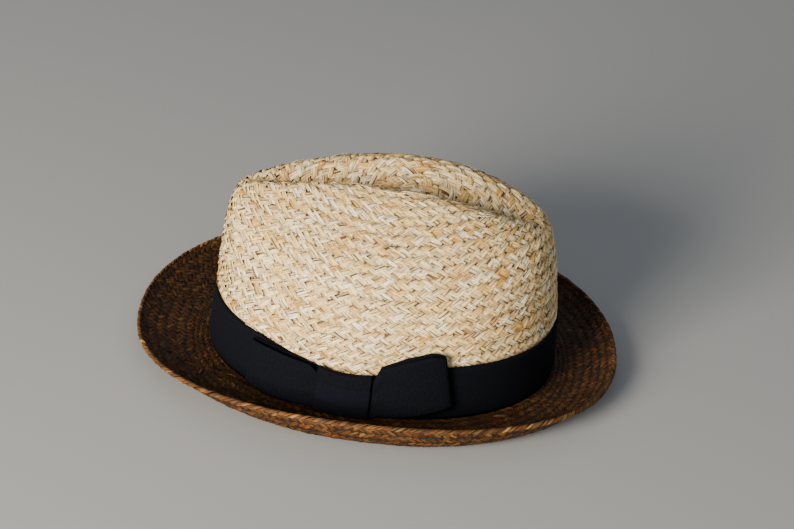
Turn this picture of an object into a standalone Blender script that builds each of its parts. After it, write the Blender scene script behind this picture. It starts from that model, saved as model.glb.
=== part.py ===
# Straw hat: plaited crown with a centre crease, curled brim, ribbon band and a flat ribbon bow.
# Metres, +Z up. The hat rests on its brim at z = 0, the wearer faces -Y and the bow is on +X.
# Angles are in degrees round the crown's axis, from 0 at the front to 90 on the bow's side.

import bpy
import numpy as np

# Crown, measured outside the straw from the crown's axis
CROWN_HALF_LENGTH = 0.1007
CROWN_HALF_WIDTH = 0.0839
CROWN_HEIGHT = 0.1120
CROWN_WALL = 0.0018
PINCH_DEPTH = 0.0075
DIMPLE_DEPTH = 0.0025

# Brim, each width measured outward from the crown
BRIM_FRONT_WIDTH = 0.0427
BRIM_SIDE_WIDTH = 0.0363
BRIM_BACK_WIDTH = 0.0367
BRIM_WALL = 0.0018
RIM_FRONT_RISE = 0.0068
RIM_SIDE_RISE = 0.0185
RIM_BACK_RISE = 0.0105
CURL_FRONT_WIDTH = 0.032
CURL_SIDE_WIDTH = 0.0162
CURL_BACK_WIDTH = 0.026

# Ribbon band and bow
RIBBON_WALL = 0.001
BAND_WIDTH = 0.0334
BAND_DIP = 0.0080
BAND_DIP_REACH = 0.062
BOW_ANGLE = 80.0
BOW_RIBBON_WIDTH = 0.0310
BOW_RISE = 0.0006
KNOT_WIDTH = 0.0300
KNOT_HEIGHT = 0.0262
FRONT_LOOP_LENGTH = 0.0570
BACK_LOOP_LENGTH = 0.0563
LOOP_DEPTH = 0.0042

FIT_GAP = 0.0003
OVAL_POWER = 2.1
BRIM_POWER = 2.20

# Divisions of the meshes
ROUND_STEPS = 64
CROWN_STEPS = 2
CURL_STEPS = 7
FLAT_STEPS = 2
LOOP_STEPS = 3
LOOP_ROWS = 4
KNOT_STEPS = 6

# The way along the band is measured in steps over half a turn, and its slope over a small angle in radians.
WALK_STEPS = 720
SLOPE_ANGLE = 0.001

FOOT_HEIGHT = BRIM_WALL + FIT_GAP
BAND_BOTTOM = FOOT_HEIGHT + FIT_GAP
BAND_TOP = BAND_BOTTOM + BAND_WIDTH

# Crown sections from the top of the band to the floor of the crease. Reaches are shares of the crown's
# half length or half width. Heights are shares of the way from the band's top to the crown's full height.
# lean narrows a section towards the front, and power is that of its oval.
CROWN_COLUMNS = ("front", "front_height", "side", "side_height", "back", "back_height", "lean", "power")
CROWN_SECTIONS = (
    (0.979, 0.000, 0.992, 0.000, 0.983, 0.000, 0.00, 2.10),
    (0.977, 0.215, 0.969, 0.234, 0.961, 0.188, 0.00, 2.10),
    (0.962, 0.440, 0.922, 0.427, 0.936, 0.413, 0.00, 2.10),
    (0.942, 0.625, 0.805, 0.612, 0.900, 0.615, 0.02, 2.10),
    (0.912, 0.738, 0.644, 0.762, 0.872, 0.690, 0.07, 2.08),
    (0.890, 0.784, 0.477, 0.891, 0.858, 0.714, 0.18, 2.05),
    (0.874, 0.808, 0.364, 0.963, 0.846, 0.726, 0.28, 2.02),
    (0.859, 0.819, 0.274, 1.000, 0.832, 0.732, 0.35, 2.00),
    (0.805, 0.828, 0.196, 0.968, 0.785, 0.732, 0.35, 2.00),
    (0.715, 0.826, 0.125, 0.860, 0.700, 0.724, 0.33, 2.00),
    (0.620, 0.818, 0.070, 0.763, 0.615, 0.710, 0.31, 2.00),
    (0.540, 0.810, 0.026, 0.722, 0.540, 0.698, 0.30, 2.00),
)
CREST_SECTION = 7
FADE_SECTIONS = 4

# Dents pressed into both sides of the crown. height, half_height and turn are in the crown's full height,
# and turn is how far the dent's centre moves round, in degrees, over that height.
DENT_COLUMNS = ("angle", "height", "turn", "half_angle", "half_height", "depth")
DENTS = (
    (42.0, 0.70, 20.0, 43.0, 0.40, PINCH_DEPTH),
    (97.0, 0.58, 0.0, 30.0, 0.26, DIMPLE_DEPTH),
)

# One turn of a loop's ribbon from its root under the knot, out along the band, and back over the top.
# reach is a share of the loop's length beyond the knot's edge, lift a share of the loop's depth.
LOOP_COLUMNS = ("reach", "lift")
LOOP_TURN = (
    (0.30, 0.00),
    (0.66, 0.00),
    (0.93, 0.06),
    (1.00, 0.42),
    (0.95, 0.82),
    (0.72, 1.00),
    (0.42, 0.98),
    (0.14, 0.74),
)

# The lower and upper edges of each loop's ribbon, as shares of the ribbon's width above the band's foot.
# lean moves the upper edge back towards the knot at the loop's end, as a share of the ribbon's width.
EDGE_COLUMNS = ("reach", "bottom", "top")
FRONT_LOOP_EDGES = (
    (0.00, 0.04, 0.88),
    (0.25, 0.03, 0.93),
    (0.65, 0.02, 0.98),
    (1.00, 0.06, 0.97),
)
BACK_LOOP_EDGES = (
    (0.00, 0.05, 1.00),
    (0.14, 0.06, 1.08),
    (0.45, 0.11, 1.26),
    (0.80, 0.22, 1.39),
    (1.00, 0.31, 1.35),
)
FRONT_LEAN_SHARE = 0.04
BACK_LEAN_SHARE = 0.19
GATHER_SHARE = 0.1

# The knot's wrap along its width: the share of its full height and of its full bulge at each station.
KNOT_COLUMNS = ("along", "height", "bulge")
KNOT_SECTIONS = (
    (-1.0, 1.06, 0.0),
    (-0.5, 1.00, 0.8),
    (0.0, 0.97, 1.0),
    (0.5, 0.98, 0.8),
    (1.0, 1.03, 0.0),
)
KNOT_BULGE = 0.0006

# The wrap's outline across its width: front is a share of the way from its back to its front,
# and up a share of its height.
OUTLINE_COLUMNS = ("front", "up")
KNOT_OUTLINE = (
    (0.0, 0.50),
    (0.0, 1.00),
    (0.5, 1.00),
    (1.0, 0.96),
    (1.0, 0.50),
    (1.0, 0.04),
    (0.5, 0.00),
    (0.0, 0.00),
)

# Levels of the ribbon's middle above the band, where the leaves lie on each other in the knot
LEAF_LEVEL = FIT_GAP + RIBBON_WALL / 2
STUB_BACK_LEVEL = LEAF_LEVEL + RIBBON_WALL + FIT_GAP
STUB_FRONT_LEVEL = STUB_BACK_LEVEL + RIBBON_WALL + FIT_GAP
WRAP_FRONT_LEVEL = STUB_FRONT_LEVEL + RIBBON_WALL + FIT_GAP

# Colour, roughness and metallic value of each piece
STRAW_FINISH = ((0.62, 0.50, 0.33, 1.0), 0.75, 0.0)
DYED_STRAW_FINISH = ((0.10, 0.052, 0.022, 1.0), 0.7, 0.0)
RIBBON_FINISH = ((0.010, 0.010, 0.013, 1.0), 0.85, 0.0)


def columns(names, rows):
    """A dictionary from each column's name to its values."""
    return dict(zip(names, np.array(rows, float).T))


def turned(angles, front, side, back):
    """A value that changes smoothly from the front to the side to the back."""
    facing = np.cos(angles)
    return side + (np.where(facing > 0, front, back) - side) * facing**2


def oval(angles, front, side, back, power):
    """Points of an oval whose front and back reaches differ."""
    along = np.cos(angles)
    across = np.sin(angles)
    x = side * np.sign(across) * np.abs(across) ** (2 / power)
    y = -np.where(along > 0, front, back) * np.sign(along) * np.abs(along) ** (2 / power)
    return np.stack([x, y], -1)


def plan_normals(points):
    """Outward horizontal unit normals along a closed plan curve."""
    step = np.roll(points, -1, 0) - np.roll(points, 1, 0)
    out = np.stack([step[:, 1], -step[:, 0]], -1)
    return out / np.linalg.norm(out, axis=1, keepdims=True)


def smooth_rows(rows, steps):
    """The rows with steps - 1 more between each two, on a smooth curve through them all."""
    rows = np.array(rows)
    ends = np.concatenate([2 * rows[:1] - rows[1:2], rows, 2 * rows[-1:] - rows[-2:-1]])
    made = []
    for a, b, c, d in zip(ends, ends[1:], ends[2:], ends[3:]):
        slope = (c - a) / 2
        bend = (2 * a - 5 * b + 4 * c - d) / 2
        twist = (3 * b - a - 3 * c + d) / 2
        for step in range(steps):
            t = step / steps
            made.append(b + slope * t + bend * t**2 + twist * t**3)
    made.append(rows[-1])
    return np.array(made)


def wall_ring(angles, heights):
    """Plan points on the crown's outer wall beside the band, at the height given for each angle."""
    table = columns(CROWN_COLUMNS, CROWN_SECTIONS)
    share = (heights - FOOT_HEIGHT) / (BAND_TOP - FOOT_HEIGHT)
    front = CROWN_HALF_LENGTH * (1 - (1 - table["front"][0]) * share)
    side = CROWN_HALF_WIDTH * (1 - (1 - table["side"][0]) * share)
    back = CROWN_HALF_LENGTH * (1 - (1 - table["back"][0]) * share)
    return oval(angles, front, side, back, OVAL_POWER)


def crown_rings(angles):
    """All rings of the crown's outer surface, from its foot to the floor of the crease."""
    table = columns(CROWN_COLUMNS, CROWN_SECTIONS)
    rise = CROWN_HEIGHT - BAND_TOP
    sections = []
    for row in range(len(CROWN_SECTIONS)):
        value = {name: table[name][row] for name in CROWN_COLUMNS}
        plan = oval(
            angles,
            value["front"] * CROWN_HALF_LENGTH,
            value["side"] * CROWN_HALF_WIDTH,
            value["back"] * CROWN_HALF_LENGTH,
            value["power"],
        )
        plan[:, 0] *= 1 - value["lean"] * np.cos(angles)
        heights = turned(angles, value["front_height"], value["side_height"], value["back_height"])
        sections.append(np.column_stack([plan, BAND_TOP + rise * heights]))
    foot_heights = np.full(len(angles), FOOT_HEIGHT)
    foot = np.column_stack([wall_ring(angles, foot_heights), foot_heights])
    rings = np.concatenate([foot[None], smooth_rows(sections, CROWN_STEPS)])
    return rings - dent_depths(angles, rings)[..., None] * ring_normals(rings)


def ring_normals(rings):
    """Unit normals of a surface given as closed rings."""
    around = np.roll(rings, -1, 1) - np.roll(rings, 1, 1)
    across = np.gradient(rings, axis=0)
    normals = np.cross(around, across)
    return normals / np.linalg.norm(normals, axis=2, keepdims=True)


def dent_depths(angles, rings):
    """How far each point of the crown is pressed in."""
    turned_angle = np.degrees(np.abs((angles + np.pi) % (2 * np.pi) - np.pi))
    height = rings[..., 2] / CROWN_HEIGHT
    total = np.zeros(height.shape)
    for row in DENTS:
        dent = dict(zip(DENT_COLUMNS, row))
        centre = dent["angle"] + dent["turn"] * (height - dent["height"])
        around = np.clip((turned_angle - centre) / dent["half_angle"], -1, 1)
        upward = np.clip((height - dent["height"]) / dent["half_height"], -1, 1)
        total += dent["depth"] * np.cos(around * np.pi / 2) ** 2 * np.cos(upward * np.pi / 2) ** 2
    # The crease keeps its own form, so the dents fade out below the crest.
    below_crest = 1 + CROWN_STEPS * CREST_SECTION - np.arange(len(rings))
    fade = np.clip(below_crest / (CROWN_STEPS * FADE_SECTIONS), 0, 1)
    return total * (fade**2 * (3 - 2 * fade))[:, None]


def brim_rings(angles):
    """Rings of the brim's underside, from the head opening to the rim."""
    crown = wall_ring(angles, np.full(len(angles), FOOT_HEIGHT))
    opening = crown - plan_normals(crown) * CROWN_WALL
    rim = oval(
        angles,
        CROWN_HALF_LENGTH + BRIM_FRONT_WIDTH,
        CROWN_HALF_WIDTH + BRIM_SIDE_WIDTH,
        CROWN_HALF_LENGTH + BRIM_BACK_WIDTH,
        BRIM_POWER,
    )
    inward = -plan_normals(rim)
    curl_width = turned(angles, CURL_FRONT_WIDTH, CURL_SIDE_WIDTH, CURL_BACK_WIDTH)
    rise = turned(angles, RIM_FRONT_RISE, RIM_SIDE_RISE, RIM_BACK_RISE)
    flat_end = rim + inward * curl_width[:, None]
    rings = []
    for step in range(FLAT_STEPS):
        share = step / FLAT_STEPS
        plan = opening + (flat_end - opening) * share
        rings.append(np.column_stack([plan, np.zeros(len(angles))]))
    # The curl is an arc that leaves the flat part level and ends at the rim's height.
    sweep = 2 * np.arctan2(rise, curl_width)
    radius = curl_width / np.sin(sweep)
    for step in range(CURL_STEPS + 1):
        turn = sweep * step / CURL_STEPS
        plan = flat_end - inward * (radius * np.sin(turn))[:, None]
        rings.append(np.column_stack([plan, radius * (1 - np.cos(turn))]))
    return np.array(rings)


def wall_distances():
    """Angles round the bow's side and the distance of each along the band from the knot's middle."""
    angles = np.linspace(0, np.pi, WALK_STEPS + 1)
    plan = wall_ring(angles, np.full(len(angles), (BAND_BOTTOM + BAND_TOP) / 2))
    walked = np.concatenate([[0], np.cumsum(np.linalg.norm(np.diff(plan, axis=0), axis=1))])
    return angles, walked - np.interp(np.radians(BOW_ANGLE), angles, walked)


def wall_points(distances, heights, levels):
    """Points beside the band: distances along it from the knot, heights, and levels above its outer face."""
    angles, walked = wall_distances()
    at = np.interp(distances, walked, angles)
    step = wall_ring(at + SLOPE_ANGLE, heights) - wall_ring(at - SLOPE_ANGLE, heights)
    out = np.stack([step[..., 1], -step[..., 0]], -1)
    out /= np.linalg.norm(out, axis=-1, keepdims=True)
    plan = wall_ring(at, heights) + out * (FIT_GAP + RIBBON_WALL + levels)[..., None]
    return np.concatenate([plan, heights[..., None]], -1)


def band_rings(angles):
    """Rings of the band's inner face, from its lower to its upper edge, which dips at the knot."""
    turns, walked = wall_distances()
    distance = np.interp(angles, turns, walked, right=walked[-1])
    dip = BAND_DIP * np.cos(np.clip(distance / BAND_DIP_REACH, -1, 1) * np.pi / 2) ** 2
    rings = []
    for share in (0, 0.5, 1):
        heights = BAND_BOTTOM + (BAND_WIDTH - dip) * share
        plan = wall_ring(angles, heights)
        rings.append(np.column_stack([plan + plan_normals(plan) * FIT_GAP, heights]))
    return np.array(rings)


def loop_grid(direction, length, edges, lean):
    """The middle surface of one loop's ribbon, as rows across its width."""
    turn = columns(LOOP_COLUMNS, LOOP_TURN)
    edge = columns(EDGE_COLUMNS, edges)
    knot_edge = KNOT_WIDTH / 2
    beyond = length - knot_edge
    leave = knot_edge + FIT_GAP
    outs = knot_edge + turn["reach"] * beyond
    levels = LEAF_LEVEL + turn["lift"] * LOOP_DEPTH
    bend = [(leave, STUB_BACK_LEVEL), *zip(outs, levels), (leave, STUB_FRONT_LEVEL)]
    root = [(FIT_GAP + RIBBON_WALL / 2, STUB_BACK_LEVEL)]
    tip = [(FIT_GAP + RIBBON_WALL / 2, STUB_FRONT_LEVEL)]
    path = np.concatenate([root, smooth_rows(bend, LOOP_STEPS), tip])
    out, level = path.T
    reach = np.clip((out - leave) / beyond, 0, 1)
    foot = BAND_BOTTOM + BOW_RISE
    inside = RIBBON_WALL + FIT_GAP
    # The roots are gathered to fit inside the wrap, and the ribbon opens out as it leaves the knot.
    gathered = np.clip(1 - reach / GATHER_SHARE, 0, 1)
    bottom = foot + BOW_RIBBON_WIDTH * np.interp(reach, edge["reach"], edge["bottom"])
    top = foot + BOW_RIBBON_WIDTH * np.interp(reach, edge["reach"], edge["top"])
    bottom += (foot + inside - bottom) * gathered
    top += (foot + KNOT_HEIGHT * min(row[1] for row in KNOT_SECTIONS) - inside - top) * gathered
    rows = []
    for row in range(LOOP_ROWS + 1):
        share = row / LOOP_ROWS
        heights = bottom + (top - bottom) * share
        shift = lean * BOW_RIBBON_WIDTH * (0.5 - share) * reach
        rows.append(wall_points(direction * (out + shift), heights, level))
    return np.array(rows)


def knot_grid():
    """The middle surface of the wrap round the loops' roots, as closed rings along the band."""
    section = columns(KNOT_COLUMNS, KNOT_SECTIONS)
    outline = columns(OUTLINE_COLUMNS, KNOT_OUTLINE)
    rings = []
    for along in np.linspace(-1, 1, KNOT_STEPS + 1):
        height = KNOT_HEIGHT * np.interp(along, section["along"], section["height"])
        bulge = KNOT_BULGE * np.interp(along, section["along"], section["bulge"])
        levels = LEAF_LEVEL + (WRAP_FRONT_LEVEL + bulge - LEAF_LEVEL) * outline["front"]
        heights = BAND_BOTTOM + BOW_RISE + height * outline["up"]
        distances = np.full(len(KNOT_OUTLINE), along * KNOT_WIDTH / 2)
        rings.append(wall_points(distances, heights, levels))
    return np.array(rings)


def loft(name, rings, closed, strip_end=False):
    """A mesh object through rows of points. strip_end closes the last ring with a strip across it."""
    count = rings.shape[1]
    span = count if closed else count - 1
    faces = []
    for row in range(len(rings) - 1):
        for i in range(span):
            j = (i + 1) % count
            faces.append((row * count + i, row * count + j, (row + 1) * count + j, (row + 1) * count + i))
    if strip_end:
        first = (len(rings) - 1) * count
        faces.append((first, first + 1, first + count - 1))
        for i in range(1, count // 2 - 1):
            faces.append((first + i, first + i + 1, first + count - i - 1, first + count - i))
        faces.append((first + count // 2 - 1, first + count // 2, first + count // 2 + 1))
    mesh = bpy.data.meshes.new(name)
    mesh.from_pydata(rings.reshape(-1, 3).tolist(), [], faces)
    mesh.shade_smooth()
    return bpy.data.objects.new(name, mesh)


def thicken(piece, wall, offset):
    """Gives an open surface its wall: offset -1 grows it inward, 0 to both sides and 1 outward."""
    solid = piece.modifiers.new("wall", "SOLIDIFY")
    solid.thickness = wall
    solid.offset = offset
    solid.use_even_offset = True
    solid.use_rim = True


def finish_material(name, finish):
    colour, roughness, metallic = finish
    material = bpy.data.materials.new(name)
    material.use_nodes = True
    shader = material.node_tree.nodes["Principled BSDF"]
    shader.inputs["Base Color"].default_value = colour
    shader.inputs["Roughness"].default_value = roughness
    shader.inputs["Metallic"].default_value = metallic
    material.diffuse_color = colour
    return material


def add_piece(piece, wall, offset, finish, parent, collection):
    thicken(piece, wall, offset)
    piece.data.materials.append(finish_material(piece.name, finish))
    piece.parent = parent
    collection.objects.link(piece)


def build_hat():
    for old in list(bpy.data.objects):
        bpy.data.objects.remove(old, do_unlink=True)
    collection = bpy.data.collections.new("straw_hat")
    bpy.context.scene.collection.children.link(collection)
    # The axis lies behind the middle of the brim by half of what the front is longer, so the hat is centred.
    axis = bpy.data.objects.new("crown_axis", None)
    axis.location = (0, (BRIM_FRONT_WIDTH - BRIM_BACK_WIDTH) / 2, 0)
    collection.objects.link(axis)

    angles = np.linspace(0, 2 * np.pi, ROUND_STEPS, endpoint=False)
    crown = loft("crown", crown_rings(angles), closed=True, strip_end=True)
    add_piece(crown, CROWN_WALL, -1, STRAW_FINISH, axis, collection)
    brim = loft("brim", brim_rings(angles), closed=True)
    add_piece(brim, BRIM_WALL, -1, DYED_STRAW_FINISH, axis, collection)
    band = loft("hat_band", band_rings(angles), closed=True)
    add_piece(band, RIBBON_WALL, 1, RIBBON_FINISH, axis, collection)

    loops = (
        ("bow_front_loop", -1, FRONT_LOOP_LENGTH, FRONT_LOOP_EDGES, FRONT_LEAN_SHARE),
        ("bow_back_loop", 1, BACK_LOOP_LENGTH, BACK_LOOP_EDGES, BACK_LEAN_SHARE),
    )
    for name, direction, length, edges, lean in loops:
        loop = loft(name, loop_grid(direction, length, edges, lean), closed=False)
        add_piece(loop, RIBBON_WALL, 0, RIBBON_FINISH, axis, collection)
    knot = loft("bow_knot", knot_grid(), closed=True)
    add_piece(knot, RIBBON_WALL, 0, RIBBON_FINISH, axis, collection)


build_hat()
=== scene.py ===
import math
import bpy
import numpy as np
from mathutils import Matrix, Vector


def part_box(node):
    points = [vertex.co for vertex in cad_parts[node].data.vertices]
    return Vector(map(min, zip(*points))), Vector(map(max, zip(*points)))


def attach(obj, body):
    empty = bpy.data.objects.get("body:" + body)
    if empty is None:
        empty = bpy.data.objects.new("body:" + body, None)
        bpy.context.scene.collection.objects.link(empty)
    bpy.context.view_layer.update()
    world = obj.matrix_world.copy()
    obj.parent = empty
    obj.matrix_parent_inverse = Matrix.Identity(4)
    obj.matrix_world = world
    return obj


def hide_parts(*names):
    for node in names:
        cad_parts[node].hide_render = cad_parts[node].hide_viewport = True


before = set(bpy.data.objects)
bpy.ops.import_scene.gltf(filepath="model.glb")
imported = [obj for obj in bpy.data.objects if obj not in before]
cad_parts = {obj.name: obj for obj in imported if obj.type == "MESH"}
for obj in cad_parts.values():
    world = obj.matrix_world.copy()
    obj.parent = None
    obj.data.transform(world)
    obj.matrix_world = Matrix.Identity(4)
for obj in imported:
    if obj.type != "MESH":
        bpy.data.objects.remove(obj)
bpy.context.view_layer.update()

# Straw hat: a crown of plaited natural raffia, a brim of brown raffia plait, a ribbon band and a flat bow.
# Metres, +Z up, the wearer faces -Y and the bow is on +X.
# A turn goes round the crown: 0 at the front and a quarter circle on the bow's side.
# A walk is the way up or out over a surface, measured on the bow's side.

mm = 0.001
fullTurn = 2 * np.pi
crownLow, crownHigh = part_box("crown")
brimLow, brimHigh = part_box("brim")
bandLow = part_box("hat_band")[0]
axisY = (crownLow.y + crownHigh.y) / 2  # the middle of the head oval


def linearColour(hexText):
    parts = [int(hexText[i : i + 2], 16) / 255 for i in (1, 3, 5)]
    return tuple(p / 12.92 if p <= 0.04045 else ((p + 0.055) / 1.055) ** 2.4 for p in parts) + (1.0,)


def addNode(tree, kind, inputs=None, **settings):
    made = tree.nodes.new(kind)
    for name, value in settings.items():
        setattr(made, name, value)
    for socket, value in (inputs or {}).items():
        if isinstance(value, bpy.types.NodeSocket):
            tree.links.new(value, made.inputs[socket])
        else:
            made.inputs[socket].default_value = value
    return made


def mathNode(tree, operation, *values):
    return addNode(tree, "ShaderNodeMath", dict(enumerate(values)), operation=operation).outputs["Value"]


def noiseNode(tree, vector, scale, detail, roughness):
    inputs = {"Vector": vector, "Scale": scale, "Detail": detail, "Roughness": roughness}
    return addNode(tree, "ShaderNodeTexNoise", inputs).outputs["Fac"]


def rangeNode(tree, value, fromMin, fromMax, toMin, toMax):
    inputs = {"Value": value, "From Min": fromMin, "From Max": fromMax, "To Min": toMin, "To Max": toMax}
    return addNode(tree, "ShaderNodeMapRange", inputs).outputs["Result"]


def mixNode(tree, amount, first, second, blend="MIX"):
    inputs = {"Factor": amount, 6: first, 7: second}
    return addNode(tree, "ShaderNodeMix", inputs, data_type="RGBA", blend_type=blend).outputs[2]


def startMaterial(name, roughness, specular):
    material = bpy.data.materials.new(name)
    material.use_nodes = True
    shader = material.node_tree.nodes["Principled BSDF"]
    shader.inputs["Roughness"].default_value = roughness
    shader.inputs["Specular IOR Level"].default_value = specular
    shader.inputs["IOR"].default_value = 1.5
    return material, shader


def unit(vectors):
    return vectors / np.maximum(np.linalg.norm(vectors, axis=-1, keepdims=True), 1e-12)


# Camera: where it stands from the hat, in degrees and metres, and where it looks.

view = {
    "azimuth": 89.222,
    "elevation": 28.775,
    "roll": 6.411,
    "distance": 1.3096,
    "target": (0.0, 0.003, 0.050),
    "aside": 4.09 * mm,  # the picture's middle lies this far to the right of the target
    "above": 2.88 * mm,
    "lens": 102.5,
}


def makeCamera():
    azimuth, elevation, roll = (math.radians(view[key]) for key in ("azimuth", "elevation", "roll"))
    facing = np.array([math.sin(azimuth), -math.cos(azimuth), 0.0])
    level = np.array([math.cos(azimuth), math.sin(azimuth), 0.0])
    back = facing * math.cos(elevation) + np.array([0.0, 0.0, math.sin(elevation)])
    upright = np.cross(back, level)
    right = math.cos(roll) * level + math.sin(roll) * upright
    up = math.cos(roll) * upright - math.sin(roll) * level
    place = np.array(view["target"]) + back * view["distance"]
    middle = np.array(view["target"]) + right * view["aside"] + up * view["above"]
    back = unit(place - middle)
    right = unit(np.cross(up, back))
    up = np.cross(back, right)
    camera = bpy.data.objects.new("camera", bpy.data.cameras.new("camera"))
    camera.data.lens = view["lens"]
    matrix = np.eye(4)
    matrix[:3, 0], matrix[:3, 1], matrix[:3, 2], matrix[:3, 3] = right, up, back, place
    camera.matrix_world = Matrix(matrix.tolist())
    bpy.context.scene.collection.objects.link(camera)
    bpy.context.scene.camera = camera


makeCamera()
print("camera ready")


# Surfaces that the plait is laid on


def smoothRows(rows, steps):
    # a Catmull-Rom curve through the rows, with so many steps from row to row
    rows = np.array(rows, float)
    ends = np.concatenate([2 * rows[:1] - rows[1:2], rows, 2 * rows[-1:] - rows[-2:-1]])
    made = []
    for a, b, c, d in zip(ends, ends[1:], ends[2:], ends[3:]):
        slope = (c - a) / 2
        bend = (2 * a - 5 * b + 4 * c - d) / 2
        twist = (3 * b - a - 3 * c + d) / 2
        for t in np.arange(steps) / steps:
            made.append(b + slope * t + bend * t**2 + twist * t**3)
    return np.array(made + [rows[-1]])


def turned(turns, front, side, back):
    # a size given at the front, the sides and the back, blended round the hat
    facing = np.cos(turns)
    return side + (np.where(facing > 0, front, back) - side) * facing**2


def oval(turns, front, side, back, power):
    along, across = np.cos(turns), np.sin(turns)
    x = side * np.sign(across) * np.abs(across) ** (2 / power)
    y = -np.where(along > 0, front, back) * np.sign(along) * np.abs(along) ** (2 / power)
    return np.stack([x, y], -1)


def squareTo(step):
    # the way out of a line in plan that runs this way
    return unit(np.stack([step[..., 1], -step[..., 0]], -1))


def planOut(points):
    # the way out of a closed line in plan
    return squareTo(np.roll(points, -1, 0) - np.roll(points, 1, 0))


def gridOut(points):
    # the way out of a surface made of closed rings
    around = np.roll(points, -1, 1) - np.roll(points, 1, 1)
    return unit(np.cross(around, np.gradient(points, axis=0)))


def walkedAlong(points):
    steps = np.linalg.norm(np.diff(points, axis=0), axis=1)
    return np.concatenate([[0], np.cumsum(steps)])


def surfaceFrom(points):
    side = points[:, points.shape[1] // 4]
    return {"points": points, "out": gridOut(points), "walk": walkedAlong(side)}


crown = {
    "halfLength": (crownHigh.y - crownLow.y) / 2,
    "halfWidth": crownHigh.x,
    "height": crownHigh.z,
    "foot": crownLow.z,
    "wall": 1.8 * mm,
    "power": 2.1,  # of the head oval beside the band
    "steps": 12,  # rings between two sections
    "crest": 7,  # the section that is the crest
    "topSteps": 72,  # rings from the crest to the middle
    "floorSteps": 8,  # rows across the floor of the crease
    "fillRounds": 6,  # for empty squares in the grid of the top's heights
    "crestShare": 1 / 8,  # of the way to the middle, over which the top leaves the crest
    "smoothRounds": 2,
    "shadeShellDepth": 0.6 * mm,  # of the shell painted as shade, under the surface
    "lowCourse": 1.6,  # pitches below the band's upper edge, so that the band hides it
    "lastCourse": 0.3,  # pitches from the middle of the top
    "fade": 4,  # sections below the crest over which the dents fade out
    # front, its height, side, its height, back, its height, lean, power: shares as in a block's sections
    "sections": (
        (0.979, 0.000, 0.992, 0.000, 0.983, 0.000, 0.00, 2.10),
        (0.977, 0.215, 0.969, 0.234, 0.961, 0.188, 0.00, 2.10),
        (0.962, 0.440, 0.922, 0.427, 0.936, 0.413, 0.00, 2.10),
        (0.942, 0.625, 0.805, 0.612, 0.900, 0.615, 0.02, 2.10),
        (0.912, 0.738, 0.644, 0.762, 0.872, 0.690, 0.07, 2.08),
        (0.890, 0.784, 0.477, 0.891, 0.858, 0.714, 0.18, 2.05),
        (0.874, 0.808, 0.364, 0.963, 0.846, 0.726, 0.28, 2.02),
        (0.859, 0.819, 0.274, 1.000, 0.832, 0.732, 0.35, 2.00),
        (0.805, 0.828, 0.196, 0.968, 0.785, 0.732, 0.35, 2.00),
        (0.715, 0.826, 0.125, 0.860, 0.700, 0.724, 0.33, 2.00),
        (0.620, 0.818, 0.070, 0.763, 0.615, 0.710, 0.31, 2.00),
        (0.540, 0.810, 0.026, 0.722, 0.540, 0.698, 0.30, 2.00),
    ),
    # where fibres have come loose: turn in degrees, its spread, walk, its spread, how many
    "loose": (
        (55, 22, 133 * mm, 4 * mm, 26),
        (110, 60, 90 * mm, 26 * mm, 34),
        (250, 60, 100 * mm, 30 * mm, 20),
    ),
    # degrees from the front, share of the height, degrees of lean, half angle, half height, depth
    "dents": ((42.0, 0.70, 20.0, 43.0, 0.40, 7.5 * mm), (97.0, 0.58, 0.0, 30.0, 0.26, 2.5 * mm)),
}

band = {
    "bottom": bandLow.z,
    "width": 33.4 * mm,
    "dip": 8.0 * mm,
    "dipReach": 62.0 * mm,
    "dentShare": 0.25,  # of the plait's relief that is left under the ribbon
    "dentDepth": 0.25 * mm,
    "dentFade": 1.5 * mm,
    "gap": 0.3 * mm,
    "wall": 1.0 * mm,
    "bowTurn": math.radians(80.0),
    "wave": 0.12 * mm,  # the ribbon isn't quite flat
    "waves": 7,
}
band["top"] = band["bottom"] + band["width"]


def wallRing(turns, heights):
    share = (heights - crown["foot"]) / (band["top"] - crown["foot"])
    first = crown["sections"][0]
    front = crown["halfLength"] * (1 - (1 - first[0]) * share)
    side = crown["halfWidth"] * (1 - (1 - first[2]) * share)
    back = crown["halfLength"] * (1 - (1 - first[4]) * share)
    return oval(turns, front, side, back, crown["power"])


def crownRings(turns):
    # upright rings beside the band, then the sections from the band over the crest to the crease
    low = []
    for height in np.linspace(crown["foot"], band["top"], crown["steps"], endpoint=False):
        heights = np.full(len(turns), height)
        low.append(np.column_stack([wallRing(turns, heights), heights]))
    rise = crown["height"] - band["top"]
    length, width = crown["halfLength"], crown["halfWidth"]
    rings = []
    for front, frontHeight, side, sideHeight, back, backHeight, lean, power in crown["sections"]:
        plan = oval(turns, front * length, side * width, back * length, power)
        plan[:, 0] *= 1 - lean * np.cos(turns)
        heights = band["top"] + rise * turned(turns, frontHeight, sideHeight, backHeight)
        rings.append(np.column_stack([plan, heights]))
    return np.concatenate([low, smoothRows(rings, crown["steps"])])


def pressDents(points, turns, crestRow):
    # pressed in along the surface's own direction, and fading out towards the crest
    angle = np.degrees(np.abs((turns + np.pi) % fullTurn - np.pi))
    height = points[..., 2] / crown["height"]
    pressed = np.zeros(height.shape)
    for centre, level, lean, halfAngle, halfHeight, depth in crown["dents"]:
        aside = np.clip((angle - centre - lean * (height - level)) / halfAngle, -1, 1)
        above = np.clip((height - level) / halfHeight, -1, 1)
        pressed += depth * np.cos(aside * np.pi / 2) ** 2 * np.cos(above * np.pi / 2) ** 2
    belowCrest = crestRow - np.arange(len(points))
    fade = np.clip(belowCrest / (crown["steps"] * crown["fade"]), 0, 1)
    return points - (pressed * (fade**2 * (3 - 2 * fade))[:, None])[..., None] * gridOut(points)


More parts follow.
